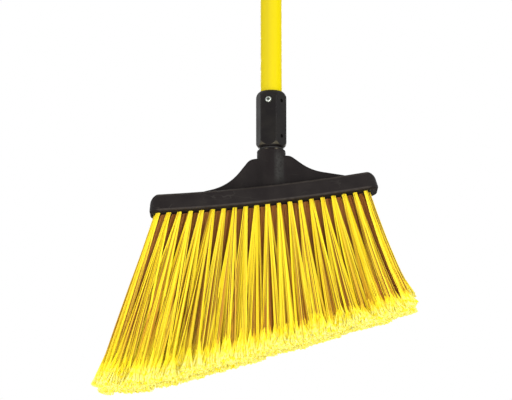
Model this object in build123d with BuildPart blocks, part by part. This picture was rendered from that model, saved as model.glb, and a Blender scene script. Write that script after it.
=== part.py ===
from build123d import *
import os
from math import cos, radians, sin, tan

# Angle broom: a moulded head full of leaning bristle tufts, screwed to a tube handle.
# Millimetres. +Z runs up the handle, +X to the end with the short bristles, -Y to the front.
# The origin is on the handle's axis, at the mouth of the collar where the tube comes out.

os.makedirs("parts", exist_ok=True)

# Handle tube
tube_od = 22.2
tube_wall = 0.9
tube_length = 1195.0
tube_seat = 45.0
tube_neck = 0.2
seat_fit = 0.1

# Cap in the far end of the tube, with a hole to hang the broom by
cap_plug = 28.0
cap_inset = 0.4
cap_barrel = 9.0
cap_tab_height = 18.0
cap_tab_thick = 11.0
cap_tip_r = 9.5
hang_hole_d = 8.0

# Hexagonal collar with the threaded stud under it
collar_length = 60.0
collar_wall = 3.3
collar_corner_r = 3.0
collar_turn = -11.5
collar_lip = 1.4
collar_round = 7.0
stud_length = 18.5
stud_root = 2.0
dimple_d = 3.8
dimple_depth = 1.6
dimple_drop = 48.4

# Rounded thread: a round section off the axis that turns once in each pitch
thread_r = 8.7
thread_throw = 0.8
thread_pitch = 5.08
thread_gap = 0.45
socket_spare = 7.0

# Screw that holds the tube in the collar
screw_drop = 10.6
screw_head_d = 6.8
screw_head_height = 2.3
screw_shank_d = 3.4
screw_length = 9.0
screw_point = 2.0
screw_fit = 0.1
recess_span = 4.0
recess_width = 1.2
recess_core_d = 2.4
recess_depth = 1.5

# Washer between the collar and the head
washer_thick = 1.5
washer_inset = 0.2
washer_gap = 0.5

# Head: boss, curved web and tilted, slightly bowed bar
boss_wall = 4.95
boss_height = 42.2
boss_edge_r = 2.4
web_height = 33.1
web_thick = 17.0
web_left_corner = 22.5
web_left_knee = 46.9
web_left_knee_height = 8.2
web_left_reach = 108.0
web_right_corner = 19.2
web_right_knee = 39.0
web_right_knee_height = 15.0
web_right_reach = 94.0
web_shoulder_r = 11.0
web_knee_r = 51.5
web_edge_r = 2.5
web_blend_r = 8.0
bar_tilt = 6.3
bar_length = 237.5
bar_height = 17.3
bar_depth = 50.0
bar_shift = -7.1
bar_bow_r = 1900.0
bar_end_draft = 10.5
bar_end_r = 10.5
bar_corner_r = 14.0
bar_edge_r = 2.2
bar_foot_r = 2.4

# Tufts: a staggered middle row between a front and a back row
tufts_in_row = 20
end_margin = 5.45
end_step = 3.5
row_shift = -2.4
edge_margin = 14.0
hole_d = 5.6
hole_depth = 12.0
tuft_fit = 0.1
tuft_proud = 2.0
left_lean = 17.0
right_lean = 20.5
lean_power = 0.9
row_splay = 2.5

# Bristles: strands that widen towards tips cut on one slanting plane
bristle_reach = 151.0
trim_angle = 16.0
bristle_longest = 190.0
middle_short = 9.0
strands_around = 6
strand_sides = 3
strand_root_r = 0.72
strand_tip_r = 1.5
strand_ring = 1.65
strand_spread_along = 1.5
strand_spread_across = 2.3
middle_spread_along = 1.0
strand_sink = 1.0

# Flat anchor plate in each tuft hole
staple_thick = 0.5
staple_height = 3.0
staple_lift = 1.5
staple_bite = 0.8

# Radii and heights that follow from the sizes above
tube_r = tube_od / 2
tube_top = tube_length - tube_seat
neck_r = tube_r - tube_neck
bore_r = neck_r + seat_fit
cap_r = tube_r - cap_inset
collar_end_r = bore_r + collar_lip
collar_flats = 2 * (bore_r + collar_wall)
collar_corner = (collar_flats / 2 - collar_corner_r) / cos(radians(30)) + collar_corner_r
thread_crest_r = thread_r + thread_throw
socket_depth = stud_length - washer_thick + socket_spare
boss_r = thread_crest_r + thread_gap + boss_wall
washer_top = -collar_length
head_top = washer_top - washer_thick
bar_under = head_top - boss_height - bar_height
hole_r = hole_d / 2
staple_span = hole_d + 2 * staple_bite
on_floor = (Align.CENTER, Align.CENTER, Align.MIN)

# The head's front view, which runs along the tilted bar and starts on its underside
tilt_cos = cos(radians(bar_tilt))
tilt_sin = sin(radians(bar_tilt))
bar_along = (tilt_cos, 0, tilt_sin)
bar_up = Axis((0, 0, bar_under), (-tilt_sin, 0, tilt_cos))
head_front = Plane((0, 0, bar_under), x_dir=bar_along, z_dir=(0, -1, 0))


def facet_plane(turn, drop):
    """Plane on one flat of the collar, drop mm below its mouth, facing out with Y up."""
    angle = radians(turn - 90)
    out = Vector(cos(angle), sin(angle), 0)
    middle = out * (collar_flats / 2) - Vector(0, 0, drop)
    return Plane(middle, x_dir=(-out.Y, out.X, 0), z_dir=out)


screw_flat = facet_plane(collar_turn, screw_drop)


def thread_rod(radius, low, high):
    """Rounded thread about the handle's axis, with the same turn at the same height."""
    start = radians(360 * low / thread_pitch)
    with BuildSketch(Plane.XY.offset(low)) as section:
        with Locations((thread_throw * cos(start), thread_throw * sin(start))):
            Circle(radius)
    length = high - low
    return Solid.extrude_linear_with_rotation(
        section.sketch.face(), (0, 0, low), (0, 0, length), 360 * length / thread_pitch
    )


# Painted steel tube, necked where it stands in the collar, with the screw's hole in its wall
with BuildPart() as handle_tube:
    with BuildSketch():
        Circle(tube_r)
    extrude(amount=tube_top)
    with BuildSketch():
        Circle(neck_r)
    extrude(amount=-tube_seat)
    with BuildSketch(Plane.XY.offset(-tube_seat)):
        Circle(tube_r - tube_wall)
    extrude(amount=tube_length, mode=Mode.SUBTRACT)
    with BuildSketch(screw_flat):
        Circle(screw_shank_d / 2 + screw_fit)
    extrude(amount=-collar_flats / 2, mode=Mode.SUBTRACT)
handle_tube.part.label = "handle_tube"
export_step(handle_tube.part, "parts/handle_tube.step")


# Moulded cap: a plug in the tube, a barrel on its end and a flat tab with a hanging hole
cap_height = cap_barrel + cap_tab_height
hang_height = tube_top + cap_height - cap_r
with BuildPart() as hanger_cap:
    with BuildSketch(Plane.XY.offset(tube_top)):
        Circle(cap_r)
    extrude(amount=cap_height)
    with BuildSketch(Plane.XZ.offset(-tube_od)) as tab_outline:
        with Locations((0, tube_top)):
            Rectangle(tube_od, cap_height, align=(Align.CENTER, Align.MIN))
        fillet(tab_outline.vertices().group_by(Axis.Y)[-1], cap_tip_r)
    extrude(amount=2 * tube_od, mode=Mode.INTERSECT)
    with BuildSketch(Plane.XY.offset(tube_top + cap_barrel)):
        with GridLocations(0, tube_od + cap_tab_thick, 1, 2):
            Rectangle(2 * tube_od, tube_od)
    extrude(amount=cap_tab_height, mode=Mode.SUBTRACT)
    with BuildSketch(Plane.XZ.offset(-tube_od)):
        with Locations((0, hang_height)):
            Circle(hang_hole_d / 2)
    extrude(amount=2 * tube_od, mode=Mode.SUBTRACT)
    with BuildSketch(Plane.XY.offset(tube_top)):
        Circle(tube_r - tube_wall - seat_fit)
    extrude(amount=-cap_plug)
hanger_cap.part.label = "hanger_cap"
export_step(hanger_cap.part, "parts/hanger_cap.step")


# Hexagonal collar: rounded mouth and foot, bore for the tube and a threaded stud
with BuildPart() as thread_collar:
    with BuildSketch(Plane.XY.offset(-collar_length)) as hexagon:
        RegularPolygon(collar_flats / 2, 6, major_radius=False, rotation=collar_turn)
        fillet(hexagon.vertices(), collar_corner_r)
    extrude(amount=collar_length)
    with BuildSketch(Plane.XZ):
        with BuildLine():
            mouth = (collar_end_r, 0)
            shoulder = (collar_corner, -collar_round)
            hip = (collar_corner, collar_round - collar_length)
            foot = (collar_end_r, -collar_length)
            TangentArc(shoulder, mouth, tangent=(0, 1))
            Line(shoulder, hip)
            TangentArc(hip, foot, tangent=(0, -1))
            Polyline(foot, (0, -collar_length), (0, 0), mouth)
        make_face()
    revolve(axis=Axis.Z, mode=Mode.INTERSECT)
    with BuildSketch():
        Circle(bore_r)
    extrude(amount=-tube_seat, mode=Mode.SUBTRACT)
    with BuildSketch(screw_flat):
        Circle(screw_shank_d / 2 + screw_fit)
    extrude(amount=-collar_flats / 2, mode=Mode.SUBTRACT)
    for drop in (screw_drop, dimple_drop):
        with BuildSketch(facet_plane(collar_turn + 60, drop)):
            Circle(dimple_d / 2)
        extrude(amount=-dimple_depth, mode=Mode.SUBTRACT)
    add(thread_rod(thread_r, -collar_length - stud_length, -collar_length + stud_root))
thread_collar.part.label = "thread_collar"
export_step(thread_collar.part, "parts/thread_collar.step")


# Pan-head tapping screw with a cross recess, seated on the collar's front flat
screw_section = Plane(screw_flat.origin, x_dir=screw_flat.x_dir, z_dir=screw_flat.y_dir)
with BuildPart() as collar_screw:
    with BuildSketch(screw_section):
        with BuildLine():
            Line((0, -screw_head_height), (screw_head_d / 4, -screw_head_height))
            EllipticalCenterArc(
                (screw_head_d / 4, 0), screw_head_d / 4, screw_head_height, start_angle=270, arc_size=90
            )
            Polyline(
                (screw_head_d / 2, 0),
                (screw_shank_d / 2, 0),
                (screw_shank_d / 2, screw_length - screw_point),
                (0, screw_length),
                (0, -screw_head_height),
            )
        make_face()
    revolve(axis=Axis(screw_flat.origin, screw_flat.z_dir))
    with BuildSketch(screw_flat.offset(screw_head_height)):
        Rectangle(recess_span, recess_width)
        Rectangle(recess_width, recess_span)
        Circle(recess_core_d / 2)
    extrude(amount=-recess_depth, mode=Mode.SUBTRACT)
collar_screw.part.label = "collar_screw"
export_step(collar_screw.part, "parts/collar_screw.step")


# Flat washer on the stud, pinched between the collar's foot and the boss
with BuildPart() as lock_washer:
    with BuildSketch(Plane.XY.offset(washer_top)):
        Circle(collar_end_r - washer_inset)
        Circle(thread_crest_r + washer_gap, mode=Mode.SUBTRACT)
    extrude(amount=-washer_thick)
lock_washer.part.label = "lock_washer"
export_step(lock_washer.part, "parts/lock_washer.step")


# Tuft places: where each tuft leaves the bar's underside, and which way it points
tuft_pitch = (bar_length - 2 * end_margin) / tufts_in_row
row_offset = bar_depth / 2 - edge_margin
row_half = tuft_pitch * (tufts_in_row - 1) / 2 + end_step


def bow_rise(along):
    """How far the bowed bar has risen, along mm from its middle."""
    return along**2 / (2 * bar_bow_r)


def tuft_seat(along, row):
    """Plane at a tuft's mouth with Z down its bristles; row is -1 in front, 1 at the back."""
    on_bar = row_shift + along
    mouth = head_front.from_local_coords((bar_shift + on_bar, bow_rise(on_bar), -row * row_offset))
    end_lean = right_lean if along > 0 else -left_lean
    lean = end_lean * (abs(along) / row_half) ** lean_power
    heading = (tan(radians(lean)), row * tan(radians(row_splay)), -1)
    return Plane(mouth, x_dir=bar_along, z_dir=heading)


outer_places = [(i - (tufts_in_row - 1) / 2) * tuft_pitch for i in range(tufts_in_row)]
middle_places = [(i - tufts_in_row / 2) * tuft_pitch for i in range(1, tufts_in_row)]
front_seats = [tuft_seat(along, -1) for along in outer_places]
middle_seats = [tuft_seat(along, 0) for along in middle_places]
end_seats = [tuft_seat(along, 0) for along in (-row_half, row_half)]
back_seats = [tuft_seat(along, 1) for along in outer_places]
all_seats = front_seats + middle_seats + end_seats + back_seats
staple_seats = [seat.offset(staple_lift - hole_depth) for seat in all_seats]


# Curved web that spreads from the boss along the bar's top, with a steep flank and a flat tail on each side
web_foot = bar_height / 2
web_top = bar_height + web_height
web_axis = web_top * tan(radians(bar_tilt))
with BuildPart() as web:
    with BuildSketch(head_front) as web_outline:
        with BuildLine():
            Polyline(
                (web_axis - web_left_reach, web_foot),
                (web_axis - web_left_reach, bar_height),
                (web_axis - web_left_knee, bar_height + web_left_knee_height),
                (web_axis - web_left_corner, web_top),
                (web_axis + web_right_corner, web_top),
                (web_axis + web_right_knee, bar_height + web_right_knee_height),
                (web_axis + web_right_reach, bar_height),
                (web_axis + web_right_reach, web_foot),
                close=True,
            )
        make_face()
        between = (False, False)
        knees = web_outline.vertices().filter_by_position(Axis.Y, bar_height, web_top, between)
        fillet(knees, web_knee_r)
        fillet(web_outline.vertices().group_by(Axis.Y)[-1], web_shoulder_r)
    extrude(amount=boss_r, both=True)
    with BuildSketch(Plane.XY.offset(head_top)) as web_plan:
        Rectangle(2 * bar_length, web_thick)
        Circle(boss_r)
        fillet(web_plan.vertices().filter_by_position(Axis.X, -boss_r, boss_r), web_blend_r)
    extrude(amount=-boss_height - bar_height - bar_length * tilt_sin, mode=Mode.INTERSECT)
    steepest = cos(radians(75))
    upper_faces = web.faces().filter_by(lambda face: face.normal_at().dot(bar_up.direction) > steepest)
    fillet(upper_faces.edges().filter_by(Axis.Y, reverse=True), web_edge_r)


# Moulded head: bar with its angled tuft holes, web, and boss with the threaded socket
bar_half = bar_length / 2
top_half = bar_half - bar_height * tan(radians(bar_end_draft))
foot_rise = bow_rise(bar_half)
top_rise = bar_height + bow_rise(top_half)
with BuildPart() as head_block:
    with BuildSketch(head_front) as bar_outline:
        with BuildLine():
            foot_left = (bar_shift - bar_half, foot_rise)
            foot_right = (bar_shift + bar_half, foot_rise)
            top_left = (bar_shift - top_half, top_rise)
            top_right = (bar_shift + top_half, top_rise)
            ThreePointArc(foot_left, (bar_shift, 0), foot_right)
            Line(foot_right, top_right)
            ThreePointArc(top_right, (bar_shift, bar_height), top_left)
            Line(top_left, foot_left)
        make_face()
        fillet(bar_outline.vertices().group_by(Axis.Y)[-1], bar_end_r)
    extrude(amount=bar_depth / 2, both=True)
    bar_sides = head_block.faces().filter_by(Axis.Y)
    fillet([edge for side in bar_sides for edge in side.edges().sort_by(bar_up)[1:]], bar_edge_r)
    for height in (-bar_end_r, bar_height + bar_end_r):
        plan_half = bar_half - (bar_half - top_half) * (height - foot_rise) / (top_rise - foot_rise)
        plan_middle = head_front.from_local_coords((bar_shift, height, 0))
        with BuildSketch(Plane(plan_middle, x_dir=bar_along, z_dir=bar_up.direction)):
            RectangleRounded(2 * plan_half, bar_depth, bar_corner_r)
    loft(mode=Mode.INTERSECT)
    fillet(head_block.faces().sort_by(bar_up)[0].edges(), bar_foot_r)
    add(web.part)
    with BuildSketch(Plane.XY.offset(head_top)):
        Circle(boss_r)
    extrude(amount=-boss_height - bar_height / 2)
    fillet(head_block.faces().sort_by(Axis.Z)[-1].edges(), boss_edge_r)
    add(
        thread_rod(thread_r + thread_gap, head_top - socket_depth, head_top + stud_root),
        mode=Mode.SUBTRACT,
    )
    with Locations(*[seat.offset(-hole_depth) for seat in all_seats]):
        Cylinder(hole_r, hole_depth + hole_d, align=on_floor, mode=Mode.SUBTRACT)
    with Locations(*staple_seats):
        Box(staple_span, staple_thick, staple_height, align=on_floor, mode=Mode.SUBTRACT)
head_block.part.label = "head_block"
export_step(head_block.part, "parts/head_block.step")


# Flat wire anchors, driven across the foot of each hole to pin its folded bristles
with BuildPart() as tuft_staples:
    with Locations(*staple_seats):
        Box(staple_span, staple_thick, staple_height, align=on_floor)
tuft_staples.part.label = "tuft_staples"
export_step(tuft_staples.part, "parts/tuft_staples.step")


# The plane that all bristle tips are cut on
trim_point = Vector(0, 0, bar_under - bristle_reach)
trim_out = Vector(sin(radians(trim_angle)), 0, -cos(radians(trim_angle)))


def strand(start, heading, along, short, turn):
    """One tapering strand, from start down heading to the trim or to its full length."""
    to_trim = (trim_point - start).dot(trim_out) / heading.dot(trim_out)
    cut = trim_out if to_trim < bristle_longest else heading
    tip = start + heading * (min(to_trim, bristle_longest) - short)
    with BuildPart() as bristle:
        with BuildSketch(Plane(start, x_dir=along, z_dir=heading)):
            RegularPolygon(strand_root_r, strand_sides, rotation=turn)
        with BuildSketch(Plane(tip, x_dir=along, z_dir=cut)):
            RegularPolygon(strand_tip_r, strand_sides, rotation=turn)
        loft()
    return bristle.part


def tuft(seat, short=0, spread_along=strand_spread_along):
    """Bristles folded round their anchor: a round root in the hole and spreading strands."""
    root_end = seat.offset(tuft_proud - strand_sink)
    strands = [strand(root_end.origin, seat.z_dir, seat.x_dir, short, 0)]
    for i in range(strands_around):
        turn = 360 * (i + 0.5) / strands_around
        along = seat.x_dir * cos(radians(turn))
        across = seat.y_dir * sin(radians(turn))
        start = root_end.origin + (along + across) * strand_ring
        spread = along * tan(radians(spread_along)) + across * tan(radians(strand_spread_across))
        heading = (seat.z_dir + spread).normalized()
        strands.append(strand(start, heading, seat.x_dir, short, turn))
    with BuildPart() as bundle:
        with BuildSketch(seat.offset(-hole_depth)):
            Circle(hole_r - tuft_fit)
        extrude(amount=hole_depth + tuft_proud)
        with Locations(seat.offset(staple_lift - hole_depth)):
            Box(hole_d, staple_thick, staple_height, align=on_floor, mode=Mode.SUBTRACT)
        add(strands)
    return bundle.part


# Yellow tufts of the front and back rows, numbered from the long end
for row, seats in (("front", front_seats), ("back", back_seats)):
    for number, seat in enumerate(seats, 1):
        row_tuft = tuft(seat)
        row_tuft.label = f"tuft_{row}_{number:02d}"
        export_step(row_tuft, f"parts/{row_tuft.label}.step")

# Yellow tufts that close the two ends of the middle row
for end, seat in zip(("left", "right"), end_seats):
    end_tuft = tuft(seat, middle_short, middle_spread_along)
    end_tuft.label = f"tuft_end_{end}"
    export_step(end_tuft, f"parts/{end_tuft.label}.step")

# Brown tufts that fill the middle row between them
with BuildPart() as fill_tufts:
    add([tuft(seat, middle_short, middle_spread_along) for seat in middle_seats])
fill_tufts.part.label = "fill_tufts"
export_step(fill_tufts.part, "parts/fill_tufts.step")
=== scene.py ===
from math import cos, radians, sin, tan

import bpy
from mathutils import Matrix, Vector


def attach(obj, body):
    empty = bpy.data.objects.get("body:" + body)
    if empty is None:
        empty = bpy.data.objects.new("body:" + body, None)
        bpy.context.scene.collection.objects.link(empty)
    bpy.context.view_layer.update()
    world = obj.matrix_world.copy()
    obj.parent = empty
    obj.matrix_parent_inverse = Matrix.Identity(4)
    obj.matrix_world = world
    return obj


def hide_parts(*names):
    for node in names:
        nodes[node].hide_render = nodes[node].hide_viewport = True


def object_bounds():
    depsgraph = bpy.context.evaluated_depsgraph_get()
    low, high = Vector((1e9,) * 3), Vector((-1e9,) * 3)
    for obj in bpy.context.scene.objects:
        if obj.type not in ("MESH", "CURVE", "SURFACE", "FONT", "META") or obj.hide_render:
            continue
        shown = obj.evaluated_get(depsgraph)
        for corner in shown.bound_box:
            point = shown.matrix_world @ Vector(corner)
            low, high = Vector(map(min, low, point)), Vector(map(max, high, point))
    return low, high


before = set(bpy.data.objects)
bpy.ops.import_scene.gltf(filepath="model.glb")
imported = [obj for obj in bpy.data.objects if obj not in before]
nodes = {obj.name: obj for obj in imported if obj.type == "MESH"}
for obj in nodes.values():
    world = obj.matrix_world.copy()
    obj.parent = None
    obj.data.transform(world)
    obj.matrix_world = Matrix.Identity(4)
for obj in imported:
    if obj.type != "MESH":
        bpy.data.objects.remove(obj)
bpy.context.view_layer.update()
scene = bpy.context.scene


# Handle: a thin-walled steel tube, enamelled bright yellow and necked at its lower end.
# The enamel has a faint orange peel and a few rubbed places; a dull band left of its middle, brighter to
# either side, is painted shade and light.
shade_band_left = 0.004
shade_band_width = 0.013


def place(tree, kind, inputs=None, **options):
    """Adds a node, sets its options, and fills its inputs with values or with other sockets."""
    node = tree.nodes.new(kind)
    for option, value in options.items():
        setattr(node, option, value)
    for name, value in (inputs or {}).items():
        if isinstance(value, bpy.types.NodeSocket):
            tree.links.new(value, node.inputs[name])
        else:
            node.inputs[name].default_value = value
    return node


def srgb(red, green, blue):
    """A colour as a screen shows it, 0 to 255, as the linear colour that a shader takes."""
    def linear(level):
        share = level / 255
        return share / 12.92 if share <= 0.04045 else ((share + 0.055) / 1.055) ** 2.4

    return (linear(red), linear(green), linear(blue), 1)


def new_surface(name):
    """A material with its tree, its Principled shader and an Object coordinate socket."""
    material = bpy.data.materials.new(name)
    material.use_nodes = True
    tree = material.node_tree
    coords = place(tree, "ShaderNodeTexCoord").outputs["Object"]
    return material, tree, tree.nodes["Principled BSDF"], coords


def number(tree, operation, first, second=0.0):
    """The result of a sum on two numbers."""
    return place(tree, "ShaderNodeMath", {0: first, 1: second}, operation=operation).outputs[0]


def noise(tree, coords, per_metre, detail=3.0, rough=0.5, stretch=(1, 1, 1)):
    """Noise from 0 to 1 with so many features in each metre."""
    scale = [per_metre * share for share in stretch]
    mapped = place(tree, "ShaderNodeMapping", {"Vector": coords, "Scale": scale})
    settings = {"Vector": mapped.outputs[0], "Scale": 1.0, "Detail": detail, "Roughness": rough}
    return place(tree, "ShaderNodeTexNoise", settings).outputs["Fac"]


def axes(tree, value):
    """The X, Y and Z of a vector."""
    return place(tree, "ShaderNodeSeparateXYZ", {0: value}).outputs


def spread(tree, value, low, high, to_low=0.0, to_high=1.0):
    """A value between low and high, drawn out to another range and held inside it."""
    settings = {"Value": value, "From Min": low, "From Max": high, "To Min": to_low, "To Max": to_high}
    return place(tree, "ShaderNodeMapRange", settings).outputs["Result"]


def blend_colours(tree, share, first, second):
    """The first colour turning into the second as the share goes from 0 to 1."""
    settings = {0: share, 6: first, 7: second}
    return place(tree, "ShaderNodeMix", settings, data_type="RGBA").outputs[2]


def bump(tree, height, depth):
    """A surface normal from a height that varies from 0 to 1 over a depth in metres."""
    settings = {"Height": height, "Distance": depth, "Strength": 1.0}
    return place(tree, "ShaderNodeBump", settings).outputs["Normal"]


enamel, tree, shader, coords = new_surface("yellow_enamel")
cloud = noise(tree, coords, 60, stretch=(1, 1, 0.2))
rubs_and_highlights = spread(tree, noise(tree, coords, 240, detail=6, stretch=(1, 1, 0.06)), 0.62, 0.75)
# Painted shade and light: duller yellow in a band just left of the middle, brighter towards the sides.
off_shade_band = number(tree, "ABSOLUTE", number(tree, "ADD", axes(tree, coords)["X"], shade_band_left))
lit_away_from_band = spread(tree, off_shade_band, 0.0, shade_band_width)
yellow = blend_colours(tree, lit_away_from_band, srgb(193, 177, 38), srgb(221, 207, 2))
yellow = blend_colours(tree, spread(tree, cloud, 0, 1, 0, 0.3), yellow, srgb(214, 196, 2))
tree.links.new(blend_colours(tree, rubs_and_highlights, yellow, srgb(212, 190, 26)), shader.inputs["Base Color"])
tree.links.new(spread(tree, cloud, 0.3, 0.7, 0.3, 0.4), shader.inputs["Roughness"])
tree.links.new(bump(tree, noise(tree, coords, 700, detail=1), 0.00003), shader.inputs["Normal"])
shader.inputs["Specular IOR Level"].default_value = 0.04
nodes["handle_tube"].data.materials[0] = enamel


# Hanger cap: a moulded plug of black polypropylene, pressed into the tube's far end.
# Its flat tab has a hole to hang the broom on a hook.
def moulding_grain():
    """Fine pebbled grain and hairline scuffs of moulded plastic, as one group."""
    group = bpy.data.node_groups.new("moulding_grain", "ShaderNodeTree")
    face = group.interface
    face.new_socket("Coords", in_out="INPUT", socket_type="NodeSocketVector")
    face.new_socket("Grain", in_out="INPUT", socket_type="NodeSocketFloat").default_value = 2500
    for name in ("Height", "Scuffs", "Dust"):
        face.new_socket(name, in_out="OUTPUT", socket_type="NodeSocketFloat")
    enter = place(group, "NodeGroupInput").outputs
    leave = place(group, "NodeGroupOutput").inputs
    pebbles = place(group, "ShaderNodeTexVoronoi", {"Vector": enter["Coords"], "Scale": enter["Grain"]})
    soft = noise(group, enter["Coords"], 900, detail=2)
    group.links.new(number(group, "ADD", pebbles.outputs["Distance"], soft), leave["Height"])
    lines = noise(group, enter["Coords"], 420, detail=8, rough=0.65, stretch=(0.12, 0.6, 1.4))
    group.links.new(spread(group, lines, 0.64, 0.74), leave["Scuffs"])
    group.links.new(spread(group, noise(group, enter["Coords"], 45, detail=5), 0.4, 0.75), leave["Dust"])
    return group


grain = moulding_grain()


def black_moulding(name, body_colour, worn_colour, roughness, gloss):
    """Black moulded plastic with pebbled grain, scuffs and a little dust."""
    material, tree, shader, coords = new_surface(name)
    marks = place(tree, "ShaderNodeGroup", node_tree=grain)
    tree.links.new(coords, marks.inputs["Coords"])
    dust = spread(tree, marks.outputs["Dust"], 0, 1, 0, 0.3)
    scuffs = spread(tree, marks.outputs["Scuffs"], 0, 1, 0, 0.6)
    dusty = blend_colours(tree, dust, body_colour, worn_colour)
    tree.links.new(blend_colours(tree, scuffs, dusty, worn_colour), shader.inputs["Base Color"])
    rough = spread(tree, marks.outputs["Dust"], 0, 1, roughness, roughness + 0.14)
    tree.links.new(rough, shader.inputs["Roughness"])
    tree.links.new(bump(tree, marks.outputs["Height"], 0.00004), shader.inputs["Normal"])
    shader.inputs["Specular IOR Level"].default_value = gloss
    return material


cap_plastic = black_moulding("cap_plastic", srgb(28, 26, 27), srgb(56, 54, 54), 0.5, 0.25)
nodes["hanger_cap"].data.materials[0] = cap_plastic


# Thread collar: a hexagonal moulding of black nylon that grips the tube in its bore.
# Its threaded stud screws into the head. Two core-pin marks show on one flat,
# and the six corners of its rounded foot carry a painted highlight.
collar_flat = 0.0143
corner_highlight = 0.0006


def vector(tree, operation, first, second=(0, 0, 0)):
    """The result of a sum on two vectors; a length or a dot product gives a number."""
    done = place(tree, "ShaderNodeVectorMath", {0: first, 1: second}, operation=operation)
    return done.outputs["Value" if operation in ("LENGTH", "DOT_PRODUCT") else "Vector"]


def within(tree, mask, value, outside, inside):
    """A mask that is kept only as far as a value has gone from outside to inside."""
    return number(tree, "MULTIPLY", mask, spread(tree, value, outside, inside))


def lay_over(tree, shader, mask, colour):
    """Lays a colour over a shader's base colour where the mask is 1."""
    base = shader.inputs["Base Color"]
    tree.links.new(blend_colours(tree, mask, base.links[0].from_socket, colour), base)


collar_plastic = black_moulding("collar_plastic", srgb(13, 10, 11), srgb(44, 42, 36), 0.4, 0.15)
tree = collar_plastic.node_tree
shader = tree.nodes["Principled BSDF"]
around = tree.nodes["Texture Coordinate"].outputs
# Painted highlight: the down-facing foot beyond the flats is made paler at the six corners.
radius = vector(tree, "LENGTH", vector(tree, "MULTIPLY", around["Object"], (1, 1, 0)))
rubs_and_highlights = spread(tree, radius, collar_flat, collar_flat + corner_highlight)
rubs_and_highlights = within(tree, rubs_and_highlights, axes(tree, around["Normal"])["Z"], -0.08, -0.4)
lay_over(tree, shader, rubs_and_highlights, srgb(66, 62, 52))
nodes["thread_collar"].data.materials[0] = collar_plastic


# Collar screw: a zinc-plated pan-head tapping screw through collar and tube.
# Its cross recess is painted dark, as painted shade.
collar_turn = radians(-11.5)
screw_drop = 0.0106
recess_reach = 0.0022
recess_top = 0.0021

zinc, tree, shader, coords = new_surface("zinc_plate")
tarnish = noise(tree, coords, 1500, detail=4)
plate = blend_colours(tree, spread(tree, tarnish, 0.35, 0.7), srgb(206, 210, 204), srgb(150, 160, 150))
tree.links.new(plate, shader.inputs["Base Color"])
tree.links.new(spread(tree, tarnish, 0.3, 0.7, 0.22, 0.42), shader.inputs["Roughness"])
shader.inputs["Metallic"].default_value = 1.0
# Painted shade: the faces inside the cross recess get a dark, mottled material.
painted_recess_shade, tree, shader, coords = new_surface("recess_shade_material")
shade_mottle = noise(tree, coords, 2500, detail=3)
tree.links.new(blend_colours(tree, shade_mottle, srgb(34, 38, 32), srgb(62, 70, 60)), shader.inputs["Base Color"])
tree.links.new(spread(tree, shade_mottle, 0, 1, 0.6, 0.9), shader.inputs["Roughness"])
screw_mesh = nodes["collar_screw"].data
screw_mesh.materials[0] = zinc
screw_mesh.materials.append(painted_recess_shade)
screw_out = Vector((sin(collar_turn), -cos(collar_turn), 0))
screw_seat = collar_flat * screw_out - Vector((0, 0, screw_drop))
for face in screw_mesh.polygons:
    offset = face.center - screw_seat
    height = offset.dot(screw_out)
    if 0 < height < recess_top and (offset - height * screw_out).length < recess_reach:
        face.material_index = 1


# Lock washer: a flat ring of dark rubber, cut from sheet, with a faint grey bloom.
# It sits loose on the stud and is pinched between collar and head.
ring_rubber, tree, shader, coords = new_surface("ring_rubber")
bloom = noise(tree, coords, 600, detail=4)
tree.links.new(blend_colours(tree, bloom, srgb(18, 17, 17), srgb(34, 33, 33)), shader.inputs["Base Color"])
tree.links.new(spread(tree, bloom, 0.3, 0.7, 0.7, 0.85), shader.inputs["Roughness"])
nodes["lock_washer"].data.materials[0] = ring_rubber


# Head: one black polypropylene moulding with its boss, web and tilted bar.
# The boss has a painted highlight on the right of its front and two on its rim, and the bar painted
# highlights along its edges.
# Faint scratches run over web and bar, and the underside is dull.
boss_top = -0.0615
boss_highlight = (
    ("X", 0.002, 0.006), ("X", 0.0135, 0.0105),
    ("Y", -0.002, -0.006), ("Z", -0.1, -0.092), ("Z", -0.062, -0.072),
)
rim_highlight = 0.0052
rim_highlight_half = 0.0026
rim_top = boss_top - 0.0008
rim_foot = boss_top - 0.002
bar_tilt = radians(6.3)
bar_under = -0.121
bar_shift = -0.0071
bar_bow_radius = 1.9
bar_height = 0.0173
bar_half_depth = 0.025
bar_edge = 0.0024
full_highlight_up = 0.6 * bar_edge
full_highlight_deep = 0.5 * bar_edge
bar_along = Vector((cos(bar_tilt), 0, sin(bar_tilt)))
bar_up = Vector((-sin(bar_tilt), 0, cos(bar_tilt)))

head_plastic = black_moulding("head_plastic", srgb(22, 18, 19), srgb(50, 47, 46), 0.48, 0.1)
tree = head_plastic.node_tree
shader = tree.nodes["Principled BSDF"]
around = tree.nodes["Texture Coordinate"].outputs
coords = around["Object"]
spot = axes(tree, coords)
# Painted highlight: a grey band on the right of the boss's front.
rubs_and_highlights = spread(tree, noise(tree, coords, 500, detail=4), 0.3, 0.6, 0.35, 1.0)
for axis, outside, inside in boss_highlight:
    rubs_and_highlights = within(tree, rubs_and_highlights, spot[axis], outside, inside)
lay_over(tree, shader, rubs_and_highlights, srgb(48, 48, 48))
swirl = number(tree, "SUBTRACT", noise(tree, coords, 90, detail=2, stretch=(0.35, 1, 1)), 0.5)
scratch = spread(tree, number(tree, "ABSOLUTE", swirl), 0.012, 0.0)
scratch = within(tree, scratch, noise(tree, coords, 26, detail=1), 0.5, 0.64)
lay_over(tree, shader, scratch, srgb(42, 40, 39))
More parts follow.
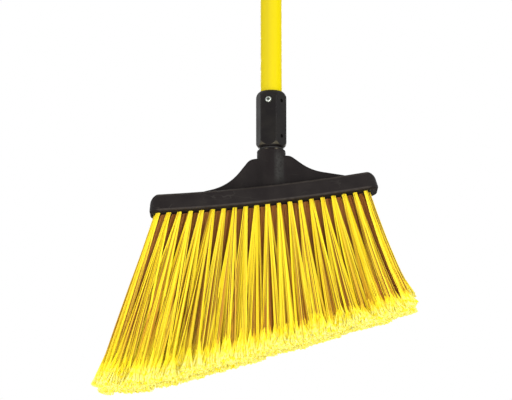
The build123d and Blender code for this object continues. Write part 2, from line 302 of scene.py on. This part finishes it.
# Painted highlights along the bar's rounded top and bottom edges, front and back.
from_foot = vector(tree, "SUBTRACT", coords, (0, 0, bar_under))
on_bar = number(tree, "SUBTRACT", vector(tree, "DOT_PRODUCT", from_foot, bar_along), bar_shift)
bow = number(tree, "DIVIDE", number(tree, "MULTIPLY", on_bar, on_bar), 2 * bar_bow_radius)
height = number(tree, "SUBTRACT", vector(tree, "DOT_PRODUCT", from_foot, bar_up), bow)
off_middle = number(tree, "ABSOLUTE", number(tree, "SUBTRACT", height, bar_height / 2))
depth = number(tree, "ABSOLUTE", spot["Y"])
edge_highlight = spread(tree, off_middle, bar_height / 2 - bar_edge, bar_height / 2 - full_highlight_up)
edge_highlight = within(tree, edge_highlight, depth, bar_half_depth - bar_edge, bar_half_depth - full_highlight_deep)
patchy = spread(tree, noise(tree, coords, 200, detail=4), 0.3, 0.6, 0.5, 1.0)
lay_over(tree, shader, number(tree, "MULTIPLY", edge_highlight, patchy), srgb(53, 49, 47))
# Painted highlights: two pale marks on the boss's top rim, brighter towards the right.
off_rim_highlight = number(tree, "SUBTRACT", number(tree, "ABSOLUTE", spot["X"]), rim_highlight)
rim = spread(tree, spot["Z"], rim_foot, rim_top)
rim = within(tree, rim, number(tree, "ABSOLUTE", off_rim_highlight), rim_highlight_half, 0.0)
rim = within(tree, rim, spot["Y"], -0.002, -0.006)
lit_from_right = spread(tree, spot["X"], -0.005, 0.005, 0.5, 1.0)
lay_over(tree, shader, number(tree, "MULTIPLY", rim, lit_from_right), srgb(118, 114, 102))
under = spread(tree, axes(tree, around["Normal"])["Z"], -0.3, -0.6, 0.0, 0.95)
rough = shader.inputs["Roughness"].links[0].from_socket
tree.links.new(number(tree, "MAXIMUM", rough, under), shader.inputs["Roughness"])
nodes["head_block"].data.materials[0] = head_plastic


# Tuft staples: flat anchors of zinc-plated steel, one across the foot of each hole.
# Each is driven in over the fold of its bristles, which hide it.
nodes["tuft_staples"].data.materials[0] = zinc


# Bristles: plastic filaments, folded in bundles into the holes and held by the staples.
# They fan out along the bar, are cut on one slant, and split into pale, soft ends there.
bar_length = 0.2375
row_offset = 0.011
row_shift = -0.0024
tufts_in_row = 20
end_margin = 0.00545
end_step = 0.0035
left_lean = radians(17)
right_lean = radians(20.5)
lean_power = 0.9
row_splay = radians(2.5)
outward_curl = 0.0125
room_slope = 0.15
left_squeeze = 1.02
right_squeeze = 0.6
bristle_reach = 0.151
middle_short = 0.009
end_short = 0.005
end_power = 8
left_end_inset = 0.0013
trim_angle = radians(16)

tuft_pitch = (bar_length - 2 * end_margin) / tufts_in_row
row_half = tuft_pitch * (tufts_in_row - 1) / 2 + end_step


def tuft_seat(along, row):
    """A tuft's mouth, heading, curl, room to spread and shortness; row is -1 in front, 1 at the back."""
    share = along / row_half
    on_bar = row_shift + along
    rise = on_bar**2 / (2 * bar_bow_radius)
    mouth = Vector((0, row * row_offset, bar_under)) + (bar_shift + on_bar) * bar_along + rise * bar_up
    end_lean = right_lean if along > 0 else -left_lean
    lean = end_lean * abs(share) ** lean_power
    heading = Vector((tan(lean), row * tan(row_splay), -1)).normalized()
    curl = outward_curl * max(share, 0) ** 2 * bar_along
    squeeze = right_squeeze if along > 0 else left_squeeze
    room = 1 - room_slope * share - squeeze * abs(share) ** end_power
    short = (0 if row else middle_short) + end_short * max(share, 0) ** end_power
    return mouth, heading, curl, room, short


outer_places = [(i - (tufts_in_row - 1) / 2) * tuft_pitch for i in range(tufts_in_row)]
middle_places = [(i - tufts_in_row / 2) * tuft_pitch for i in range(1, tufts_in_row)]


def times(tree, direction, length):
    """A vector made so many times as long."""
    made = place(tree, "ShaderNodeVectorMath", {0: direction, "Scale": length}, operation="SCALE")
    return made.outputs["Vector"]


def keep(tree, geometry, name, value, kind="FLOAT"):
    """Stores a value on each point under a name."""
    settings = {"Geometry": geometry, "Name": name, "Value": value}
    stored = place(tree, "GeometryNodeStoreNamedAttribute", settings, data_type=kind, domain="POINT")
    return stored.outputs["Geometry"]


def recall(tree, name, kind="FLOAT"):
    """The value stored under a name."""
    return place(tree, "GeometryNodeInputNamedAttribute", {"Name": name}, data_type=kind).outputs[0]


def bristle_tree():
    """Tufts of fine filaments from points with a heading, a curl and room to spread."""
    tree = bpy.data.node_groups.new("bristle_tufts", "GeometryNodeTree")
    face = tree.interface
    face.new_socket("Geometry", in_out="INPUT", socket_type="NodeSocketGeometry")
    face.new_socket("Geometry", in_out="OUTPUT", socket_type="NodeSocketGeometry")
    for name in ("Strands", "Filaments", "Flags", "Seed"):
        face.new_socket(name, in_out="INPUT", socket_type="NodeSocketInt")
    for name in (
        "Root Radius", "Root Depth", "Filament Radius", "Spread Along", "Spread Across", "Strand Tip",
        "Wander", "Bow", "Longest", "Uneven", "Flag Share", "Flag Spread", "Flag Radius", "Crimp",
    ):
        face.new_socket(name, in_out="INPUT", socket_type="NodeSocketFloat")
    for name in ("Bar Along", "Trim Point", "Trim Normal"):
        face.new_socket(name, in_out="INPUT", socket_type="NodeSocketVector")
    face.new_socket("Material", in_out="INPUT", socket_type="NodeSocketMaterial")
    given = place(tree, "NodeGroupInput").outputs
    index = place(tree, "GeometryNodeInputIndex").outputs[0]
    full_turn = radians(360)

    def total(first, second):
        return number(tree, "ADD", first, second)

    def product(first, second):
        return number(tree, "MULTIPLY", first, second)

    def chance(low, high, thing, salt):
        """A random number from low to high, the same each run for the same thing and salt."""
        settings = {2: low, 3: high, 7: thing, 8: total(given["Seed"], salt)}
        return place(tree, "FunctionNodeRandomValue", settings, data_type="FLOAT").outputs[1]

    def either_way(most, thing, salt):
        """A random number of up to so much either way."""
        return chance(-most, most, thing, salt)

    def disc_place(count, of, turn):
        """Place of one of many evenly packed points in a disc of radius 1, as two numbers."""
        golden_angle = 2.399963
        radius = number(tree, "SQRT", number(tree, "DIVIDE", total(count, 0.5), of))
        angle = total(product(count, golden_angle), turn)
        return [product(radius, number(tree, way, angle)) for way in ("COSINE", "SINE")]

    # Each seat becomes a bundle of filaments, in strands that lie together.
    seats = keep(tree, given["Geometry"], "tuft", index, "INT")
    position = place(tree, "GeometryNodeInputPosition").outputs[0]
    seats = keep(tree, seats, "mouth", position, "FLOAT_VECTOR")
    settings = {"Geometry": seats, "Amount": product(given["Strands"], given["Filaments"])}
    bundle = place(tree, "GeometryNodeDuplicateElements", settings, domain="POINT")
    which = bundle.outputs["Duplicate Index"]
    strand = number(tree, "MODULO", which, given["Strands"])
    member = number(tree, "FLOOR", number(tree, "DIVIDE", which, given["Strands"]))
    tuft = recall(tree, "tuft", "INT")
    strand_numbers_apart = 97.0
    strand_id = total(product(tuft, strand_numbers_apart), strand)
    strand_x, strand_y = disc_place(strand, given["Strands"], chance(0.0, full_turn, tuft, 0))
    strand_radius = number(tree, "SQRT", number(tree, "DIVIDE", total(strand, 0.5), given["Strands"]))
    member_x, member_y = disc_place(member, given["Filaments"], chance(0.0, full_turn, strand_id, 1))

    # The bundle's own directions: down the tuft, along the bar and across it.
    heading = recall(tree, "heading", "FLOAT_VECTOR")
    lean = times(tree, heading, vector(tree, "DOT_PRODUCT", given["Bar Along"], heading))
    along = vector(tree, "NORMALIZE", vector(tree, "SUBTRACT", given["Bar Along"], lean))
    across = vector(tree, "CROSS_PRODUCT", heading, along)

    def sideways(x, y):
        return vector(tree, "ADD", times(tree, along, x), times(tree, across, y))

    # Filaments are packed round in the hole and drift apart by strands on their way down.
    def packed(strand_part, member_part):
        strand_share = 0.66
        both = total(product(strand_part, strand_share), product(member_part, 1 - strand_share))
        return product(both, given["Root Radius"])

    mouth = recall(tree, "mouth", "FLOAT_VECTOR")
    root_side = sideways(packed(strand_x, member_x), packed(strand_y, member_y))
    root = vector(tree, "ADD", mouth, root_side)
    slant = vector(tree, "DOT_PRODUCT", heading, given["Trim Normal"])

    def reach_from(start):
        """Length down the heading from a start to the slanting cut, or the full length."""
        gap = vector(tree, "SUBTRACT", given["Trim Point"], start)
        down = number(tree, "DIVIDE", vector(tree, "DOT_PRODUCT", gap, given["Trim Normal"]), slant)
        rounding = 0.03
        settings = {0: down, 1: given["Longest"], 2: rounding}
        return place(tree, "ShaderNodeMath", settings, operation="SMOOTH_MIN").outputs[0]

    def flare(strand_part, member_part, slope, salt):
        stray = number(tree, "POWER", either_way(1.0, strand_id, salt), 3.0)
        apart = total(strand_part, product(stray, given["Wander"]))
        drift = product(product(apart, recall(tree, "room")), product(slope, reach_from(mouth)))
        return total(drift, product(member_part, given["Strand Tip"]))

    flare_along = flare(strand_x, member_x, given["Spread Along"], 2)
    flare_across = flare(strand_y, member_y, given["Spread Across"], 3)
    flare_side = sideways(flare_along, flare_across)
    length = reach_from(vector(tree, "ADD", root, flare_side))
    length = number(tree, "SUBTRACT", length, recall(tree, "short"))
    tuft_uneven, strand_uneven, filament_uneven = 1.6, 1.8, 1.0
    uneven = total(either_way(tuft_uneven, tuft, 4), either_way(strand_uneven, strand_id, 5))
    uneven = total(uneven, either_way(filament_uneven, index, 6))
    length = total(length, product(uneven, given["Uneven"]))

    # Each strand bows its own way, and those with a curl bend back outwards at the end.
    arch_height = 4.0
    bow = sideways(either_way(arch_height, strand_id, 7), either_way(arch_height, strand_id, 8))
    bow = vector(tree, "SUBTRACT", times(tree, bow, given["Bow"]), recall(tree, "curl", "FLOAT_VECTOR"))

    # Strands on the side of a tuft that faces the other rows are sunk behind the rest, and are marked for
    # painted shade.
    facing = number(tree, "SIGN", axes(tree, heading)["Y"])
    sunk = product(0.5, total(number(tree, "ABSOLUTE", facing), product(facing, strand_y)))
    fray = product(0.5, total(chance(0.45, 1.0, strand_id, 11), chance(0.3, 1.1, index, 17)))
    points = bundle.outputs["Geometry"]
    for name, value, kind in (
        ("root", root, "FLOAT_VECTOR"),
        ("flare", flare_side, "FLOAT_VECTOR"),
        ("bow", bow, "FLOAT_VECTOR"),
        ("length", length, "FLOAT"),
        ("tone", chance(0.0, 1.0, index, 9), "FLOAT"),
        ("strand_tone", chance(0.0, 1.0, strand_id, 10), "FLOAT"),
        ("inner", number(tree, "SUBTRACT", 1.0, strand_radius), "FLOAT"),
        ("sunk", sunk, "FLOAT"),
        ("fray", fray, "FLOAT"),
    ):
        points = keep(tree, points, name, value, kind)

    def on_filament(share):
        """Place on a filament, from its mouth at 0 to its cut end at 1."""
        shown = number(tree, "MAXIMUM", share, 0.0)
        down = times(tree, recall(tree, "heading", "FLOAT_VECTOR"), product(share, recall(tree, "length")))
        side = times(tree, recall(tree, "flare", "FLOAT_VECTOR"), shown)
        arch = product(shown, number(tree, "SUBTRACT", 1.0, shown))
        bent = times(tree, recall(tree, "bow", "FLOAT_VECTOR"), arch)
        straight = vector(tree, "ADD", recall(tree, "root", "FLOAT_VECTOR"), down)
        return vector(tree, "ADD", straight, vector(tree, "ADD", side, bent))

    def lines_on(cloud, points_each):
        """One line of a few points for each point of a cloud, with its share along the line."""
        line = place(tree, "GeometryNodeCurvePrimitiveLine", {"End": (0, 0, 1)})
        fine = place(tree, "GeometryNodeResampleCurve", {"Curve": line.outputs[0], "Count": points_each})
        factor = place(tree, "GeometryNodeSplineParameter").outputs["Factor"]
        marked = keep(tree, fine.outputs[0], "share", factor)
        copies = place(tree, "GeometryNodeInstanceOnPoints", {"Points": cloud, "Instance": marked})
        return place(tree, "GeometryNodeRealizeInstances", {"Geometry": copies.outputs[0]}).outputs[0]

    def moved(curves, spot):
        return place(tree, "GeometryNodeSetPosition", {"Geometry": curves, "Position": spot}).outputs[0]

    def skin(curves, radius):
        """Three-sided filaments round the lines, each turned its own way."""
        sides = 3
        twist = product(recall(tree, "tone"), 2 * full_turn)
        curves = place(tree, "GeometryNodeSetCurveTilt", {"Curve": curves, "Tilt": twist}).outputs[0]
        profile = place(tree, "GeometryNodeCurvePrimitiveCircle", {"Resolution": sides, "Radius": 1.0})
        settings = {"Curve": curves, "Profile Curve": profile.outputs[0], "Scale": radius}
        mesh = place(tree, "GeometryNodeCurveToMesh", {**settings, "Fill Caps": True}).outputs[0]
        settings = {"Geometry": mesh, "Shade Smooth": False}
        return place(tree, "GeometryNodeSetShadeSmooth", settings).outputs[0]

    # Shafts run from inside the hole to where the ends begin to split.
    shaft_points = 5
    least_split = 0.7
    share = recall(tree, "share")
    root_share = number(tree, "DIVIDE", given["Root Depth"], recall(tree, "length"))
    shafts = lines_on(points, shaft_points)
    split_at = product(given["Flag Share"], product(recall(tree, "fray"), least_split))
    split_at = number(tree, "SUBTRACT", 1.0, split_at)
    run = product(share, total(split_at, root_share))
    shafts = keep(tree, shafts, "run", number(tree, "SUBTRACT", run, root_share))
    shafts = moved(shafts, on_filament(recall(tree, "run")))
    shafts = keep(tree, shafts, "flag", 0.0)
    shafts = skin(shafts, given["Filament Radius"])

    # Flags: the split ends of each filament, drawn as soft wisps that spread every way and fill out.
    least_room = 0.25
    wisp_start, wisp_end = 0.45, 0.7
    settings = {"Geometry": points, "Amount": given["Flags"]}
    ends = place(tree, "GeometryNodeDuplicateElements", settings, domain="POINT").outputs[0]
    split_share = product(recall(tree, "fray"), chance(least_split, 1.0, index, 12))
    ends = keep(tree, ends, "split", product(given["Flag Share"], split_share))
    splay_room = number(tree, "MINIMUM", total(recall(tree, "room"), least_room), 1.0)
    splay = sideways(either_way(1.0, index, 13), either_way(1.0, index, 14))
    splay = times(tree, splay, product(given["Flag Spread"], splay_room))
    ends = keep(tree, ends, "splay", splay, "FLOAT_VECTOR")
    ends = lines_on(ends, 2)
    to_go = product(number(tree, "SUBTRACT", 1.0, share), recall(tree, "split"))
    ends = keep(tree, ends, "run", number(tree, "SUBTRACT", 1.0, to_go))
    off = times(tree, recall(tree, "splay", "FLOAT_VECTOR"), share)
    kink = sideways(either_way(1.0, index, 15), either_way(1.0, index, 16))
    off = vector(tree, "ADD", off, times(tree, kink, product(share, given["Crimp"])))
    ends = moved(ends, vector(tree, "ADD", on_filament(recall(tree, "run")), off))
    ends = keep(tree, ends, "flag", share)
    fullness = total(wisp_start, product(share, wisp_end - wisp_start))
    ends = skin(ends, product(given["Flag Radius"], fullness))

    whole = place(tree, "GeometryNodeJoinGeometry")
    for part in (ends, shafts):
        tree.links.new(part, whole.inputs[0])
    solid = place(tree, "GeometryNodeRealizeInstances", {"Geometry": whole.outputs[0]}).outputs[0]
    settings = {"Geometry": solid, "Material": given["Material"]}
    dressed = place(tree, "GeometryNodeSetMaterial", settings).outputs[0]
    place(tree, "NodeGroupOutput", {"Geometry": dressed})
    return tree


bristles = bristle_tree()


def attribute(tree, name):
    """A value stored on the mesh under a name."""
    return place(tree, "ShaderNodeAttribute", attribute_name=name).outputs["Fac"]


def filament_plastic(name, inside, streak_shade, core_shade, lit_end, deep, plain, bright, tip_deep, tip):
    """Plastic bristles of tones from deep to bright, some with painted shade streaks, with pale split
    ends.

    Those in the middle of a tuft or sunk behind it take a shade colour, which is painted shade, and grow
    lighter towards their ends, which is painted light.
    The value inside is the least share of that lightening for all of them.
    """
    material, tree, shader, coords = new_surface(name)
    tone = attribute(tree, "tone")
    # Low random tones take the deep colour, and so do strands nearer a tuft's middle, which is painted
    # shade.
    spared = number(tree, "SUBTRACT", attribute(tree, "strand_tone"), attribute(tree, "inner"))
    warm = number(tree, "ADD", spread(tree, tone, 0.1, 0.5, 0.0, 0.6), spared)
    body = blend_colours(tree, spread(tree, warm, -0.2, 0.5), deep, plain)
    body = blend_colours(tree, spread(tree, tone, 0.6, 1.0), body, bright)
    # Painted shade: strands in a tuft's middle or on its side towards the other rows take the shade
    # colour.
    shaded = spread(tree, attribute(tree, "inner"), 0.3, 0.75, 0.0, 0.8)
    shaded = number(tree, "MAXIMUM", shaded, spread(tree, attribute(tree, "sunk"), 0.55, 0.85))
    body = blend_colours(tree, shaded, body, core_shade)
    # Painted light: those shaded strands grow lighter towards their ends.
    end_lighting = spread(tree, attribute(tree, "run"), 0.3, 0.8)
    end_lighting = number(tree, "MULTIPLY", end_lighting, number(tree, "MAXIMUM", shaded, inside))
    body = blend_colours(tree, end_lighting, body, lit_end)
    # Painted shade: a few filaments darken into streaks along their shafts, more of them lower down.
    streaks_lower_down = number(tree, "MULTIPLY", attribute(tree, "run"), 0.16)
    shade_streaks = spread(tree, number(tree, "SUBTRACT", tone, streaks_lower_down), 0.11, 0.04)
    flag = attribute(tree, "flag")
    shade_streaks = number(tree, "MULTIPLY", shade_streaks, spread(tree, flag, 0.0, 0.1, 1.0, 0.0))
    body = blend_colours(tree, shade_streaks, body, streak_shade)
    patches = spread(tree, noise(tree, coords, 320, detail=1), 0.35, 0.6)
    patches = number(tree, "MULTIPLY", patches, spread(tree, flag, 0.2, 0.8))
    ends = blend_colours(tree, patches, tip_deep, tip)
    # Shafts on the long, left side turn towards the end colours low down.
    long_side = spread(tree, axes(tree, coords)["X"], 0.0, -0.13, 0.0, 0.7)
    paler_low_on_long_side = number(tree, "MULTIPLY", spread(tree, attribute(tree, "run"), 0.68, 0.92), long_side)
    body = blend_colours(tree, paler_low_on_long_side, body, ends)
    body = blend_colours(tree, spread(tree, flag, 0.0, 0.4), body, ends)
    tree.links.new(body, shader.inputs["Base Color"])
    tree.links.new(spread(tree, tone, 0, 1, 0.38, 0.6), shader.inputs["Roughness"])
    shader.inputs["Specular IOR Level"].default_value = 0.2
    return material


yellow_filament = filament_plastic(
    "yellow_filament", inside=0.0, streak_shade=srgb(132, 82, 32),
    core_shade=srgb(156, 98, 44), lit_end=srgb(214, 146, 50),
    deep=srgb(238, 198, 32), plain=srgb(244, 223, 44), bright=srgb(246, 230, 64),
    tip_deep=srgb(245, 228, 42), tip=srgb(239, 236, 144),
)
# The middle fill row's brown is painted shade: it stands for yellow bristles seen in shade between the
# front tufts.
fill_shade_filament = filament_plastic(
    "fill_shade_filament", inside=0.9, streak_shade=srgb(120, 74, 36),
    core_shade=srgb(152, 96, 46), lit_end=srgb(212, 140, 62),
    deep=srgb(152, 96, 46), plain=srgb(170, 110, 52), bright=srgb(186, 126, 60),
    tip_deep=srgb(245, 226, 44), tip=srgb(239, 236, 144),
)


def bristle_piece(name, seats, slot, replaced, **settings):
    """Grows tufts on their seats with the tree, and makes them one plain mesh on the head."""
    base = bpy.data.meshes.new(name + "_seats")
    base.from_pydata([seat[0] for seat in seats], [], [])
    base.attributes.new("heading", "FLOAT_VECTOR", "POINT")
    base.attributes.new("curl", "FLOAT_VECTOR", "POINT")
    base.attributes.new("room", "FLOAT", "POINT")
    base.attributes.new("short", "FLOAT", "POINT")
    for i, (_, heading, curl, room, short) in enumerate(seats):
        base.attributes["heading"].data[i].vector = heading
        base.attributes["curl"].data[i].vector = curl
        base.attributes["room"].data[i].value = room
        base.attributes["short"].data[i].value = short
    grower = bpy.data.objects.new(name + "_grower", base)
    scene.collection.objects.link(grower)
    modifier = grower.modifiers.new("tufts", "NODES")
    modifier.node_group = bristles
    for item in bristles.interface.items_tree:
        if item.in_out == "INPUT" and item.name in settings:
            modifier[item.identifier] = settings[item.name]
    grown = grower.evaluated_get(bpy.context.evaluated_depsgraph_get())
    mesh = bpy.data.meshes.new_from_object(grown)
    mesh.name = name
    piece = bpy.data.objects.new(name, mesh)
    scene.collection.objects.link(piece)
    bpy.data.objects.remove(grower)
    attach(piece, "head")
    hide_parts(*replaced)


bristle_sizes = {
    "Strands": 24,
    "Filaments": 5,
    "Flags": 6,
    "Root Radius": 0.0022,
    "Root Depth": 0.004,
    "Filament Radius": 0.00037,
    "Spread Along": tan(radians(2.9)),
    "Spread Across": tan(radians(1.9)),
    "Strand Tip": 0.0008,
    "Wander": 1.6,
    "Bow": 0.0011,
    "Longest": 0.19,
    "Uneven": 0.001,
    "Flag Share": 0.19,
    "Flag Spread": 0.0052,
    "Flag Radius": 0.0013,
    "Crimp": 0.001,
    "Bar Along": bar_along,
    "Trim Point": Vector((0, 0, bar_under - bristle_reach)),
    "Trim Normal": Vector((sin(trim_angle), 0, -cos(trim_angle))),
    "Material": yellow_filament,
}
fill_sizes = {
    **bristle_sizes, "Root Radius": 0.0031, "Spread Along": tan(radians(3.4)), "Flag Share": 0.08,
    "Material": fill_shade_filament,
}
numbers = [f"{i:02d}" for i in range(1, tufts_in_row + 1)]
bristle_piece(
    "bristles_front", [tuft_seat(x, -1) for x in outer_places], "yellow_bristle",
    ["tuft_front_" + i for i in numbers], **bristle_sizes, Seed=11,
)
bristle_piece(
    "bristles_back", [tuft_seat(x, 1) for x in outer_places], "yellow_bristle",
    ["tuft_back_" + i for i in numbers], **bristle_sizes, Seed=37,
)
bristle_piece(
    "bristles_ends", [tuft_seat(x, 0) for x in (left_end_inset - row_half, row_half)], "yellow_bristle",
    ["tuft_end_left", "tuft_end_right"], **bristle_sizes, Seed=61,
)
bristle_piece(
    "bristles_fill", [tuft_seat(x, 0) for x in middle_places], "brown_bristle",
    ["fill_tufts"], **fill_sizes, Seed=85,
)


# Studio: a pale floor far under the broom, large soft lamps round it on every side,
# and an even surround that the camera sees as white.
floor_drop = 2.0
floor_size = 12.0
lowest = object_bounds()[0].z
floor_mesh = bpy.data.meshes.new("floor")
half = floor_size / 2
corners = [(-half, -half), (half, -half), (half, half), (-half, half)]
floor_mesh.from_pydata([(x, y, lowest - floor_drop) for x, y in corners], [], [(0, 1, 2, 3)])
floor = bpy.data.objects.new("floor", floor_mesh)
scene.collection.objects.link(floor)
floor_paint, tree, shader, coords = new_surface("floor_paint")
shader.inputs["Base Color"].default_value = (0.8, 0.8, 0.8, 1)
shader.inputs["Roughness"].default_value = 0.9
direct = place(tree, "ShaderNodeLightPath").outputs["Is Camera Ray"]
paling = place(tree, "ShaderNodeEmission", {"Color": (0.66, 0.69, 0.75, 1), "Strength": direct}).outputs[0]
pale = place(tree, "ShaderNodeAddShader", {0: shader.outputs[0], 1: paling}).outputs[0]
clear = place(tree, "ShaderNodeBsdfTransparent").outputs[0]
behind = place(tree, "ShaderNodeNewGeometry").outputs["Backfacing"]
one_sided = place(tree, "ShaderNodeMixShader", {0: behind, 1: pale, 2: clear})
tree.links.new(one_sided.outputs[0], tree.nodes["Material Output"].inputs["Surface"])
floor_mesh.materials.append(floor_paint)

world = bpy.data.worlds.new("surround")
scene.world = world
world.use_nodes = True
tree = world.node_tree
tree.nodes.clear()
path = place(tree, "ShaderNodeLightPath").outputs
mirrored = number(tree, "MAXIMUM", path["Is Glossy Ray"], path["Is Transmission Ray"])
seen = number(tree, "MAXIMUM", path["Is Camera Ray"], mirrored)
white = place(tree, "ShaderNodeBackground", {"Color": (1, 1, 1, 1), "Strength": 1.0}).outputs[0]
soft = place(tree, "ShaderNodeBackground", {"Color": (1, 0.88, 0.68, 1), "Strength": 0.6}).outputs[0]
surround = place(tree, "ShaderNodeMixShader", {0: seen, 1: soft, 2: white}).outputs[0]
place(tree, "ShaderNodeOutputWorld", {"Surface": surround})

head_middle = Vector((0, 0, -0.15))


def soft_lamp(name, turn, rise, away, size, power):
    """A square studio lamp that faces the head, turned to the right of its front and raised."""
    level = cos(radians(rise))
    way = Vector((level * sin(radians(turn)), -level * cos(radians(turn)), sin(radians(rise))))
    lamp = bpy.data.lights.new(name, "AREA")
    lamp.size = size
    lamp.energy = power
    stand = bpy.data.objects.new(name, lamp)
    stand.location = head_middle + away * way
    stand.rotation_euler = (-way).to_track_quat("-Z", "Y").to_euler()
    stand.visible_camera = False
    scene.collection.objects.link(stand)


soft_lamp("key_lamp", turn=50, rise=8, away=2.4, size=1.2, power=19.5)
soft_lamp("front_lamp", turn=6, rise=-16, away=2.8, size=1.6, power=35)
soft_lamp("low_lamp", turn=-8, rise=-42, away=1.2, size=1.3, power=9.5)
soft_lamp("left_lamp", turn=-60, rise=-10, away=2.6, size=1.6, power=23)
soft_lamp("back_lamp", turn=180, rise=8, away=2.6, size=1.6, power=42)


# Camera: a long lens in front of the head and a little below it, looking up.
# The tube's foot lands on the same picture point as in the photograph.
photo_width = 512
photo_height = 400
origin_px = (271.2, 92.8)
metres_per_px = 0.0010427
camera_rise = radians(12)
camera_away = 2.5
sensor = 36.0

look = Vector((0, cos(camera_rise), sin(camera_rise)))
up = Vector((0, -sin(camera_rise), cos(camera_rise)))
aside = (photo_width / 2 - origin_px[0]) * metres_per_px
below = (photo_height / 2 - origin_px[1]) * metres_per_px
lens = bpy.data.cameras.new("camera")
lens.sensor_width = sensor
lens.lens = sensor * camera_away / (photo_width * metres_per_px)
camera = bpy.data.objects.new("camera", lens)
camera.location = Vector((aside, 0, 0)) - below * up - camera_away * look
camera.rotation_mode = "QUATERNION"
camera.rotation_quaternion = look.to_track_quat("-Z", "Y")
scene.collection.objects.link(camera)
scene.camera = camera
scene.view_settings.view_transform = "Standard"
